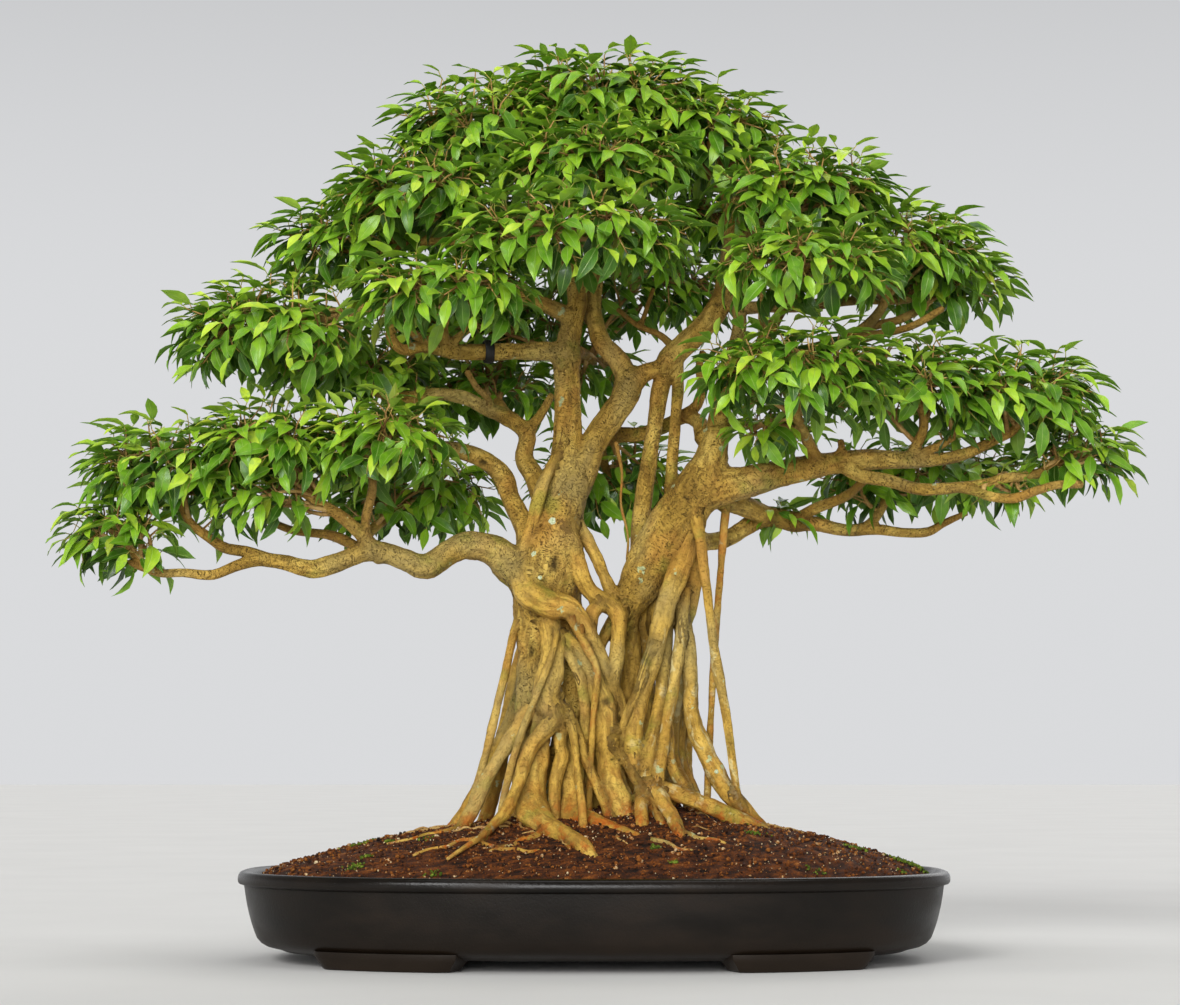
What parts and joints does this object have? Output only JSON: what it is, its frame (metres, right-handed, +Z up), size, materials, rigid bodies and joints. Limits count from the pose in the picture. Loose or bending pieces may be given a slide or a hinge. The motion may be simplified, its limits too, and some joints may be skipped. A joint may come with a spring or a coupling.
{
  "type": "weeping fig bonsai",
  "caption": "Banyan-style weeping fig on a cage of fused aerial roots, with leafy tiers on spreading branches, in a mound of soil in a low oval pot on feet",
  "frame": {"origin": "Middle of the tree's outline seen from above, on the surface that the pot's feet stand on", "axes": "+Z up, +X along the pot's length to the right as seen from the front, -Y to the front"},
  "size_m": [1.1058, 0.5418, 0.9166],
  "materials": {
    "pot": "satin",
    "screen": "matte",
    "soil": "matte",
    "bark": "matte",
    "band": "matte",
    "leaf": "satin"
  },
  "bodies": {
    "root": {"pot": "pot", "drain_screen_left": "screen", "drain_screen_right": "screen", "soil": "soil", "wood": "bark", "branch_band": "band", "foliage_apex": "leaf", "foliage_crown_left": "leaf", "foliage_crown_right": "leaf", "foliage_crown_front": "leaf", "foliage_crown_back": "leaf", "foliage_shelf_front": "leaf", "foliage_shelf_left": "leaf", "foliage_shelf_left_outer": "leaf", "foliage_shelf_right": "leaf", "foliage_shelf_right_outer": "leaf", "foliage_shelf_back_left": "leaf", "foliage_shelf_back_right": "leaf", "foliage_left_front": "leaf", "foliage_left_outer": "leaf", "foliage_left_inner": "leaf", "foliage_right_front": "leaf", "foliage_right_outer": "leaf", "foliage_back_left_low": "leaf", "foliage_back_centre_low": "leaf", "foliage_low_right_front": "leaf", "foliage_low_right_mid": "leaf", "foliage_low_right_outer": "leaf", "foliage_low_right_tip": "leaf", "foliage_low_right_back": "leaf", "foliage_low_left_inner": "leaf", "foliage_low_left_mid": "leaf", "foliage_low_left_outer": "leaf", "foliage_low_left_tip": "leaf", "foliage_low_left_back": "leaf"}
  },
  "joints": []
}
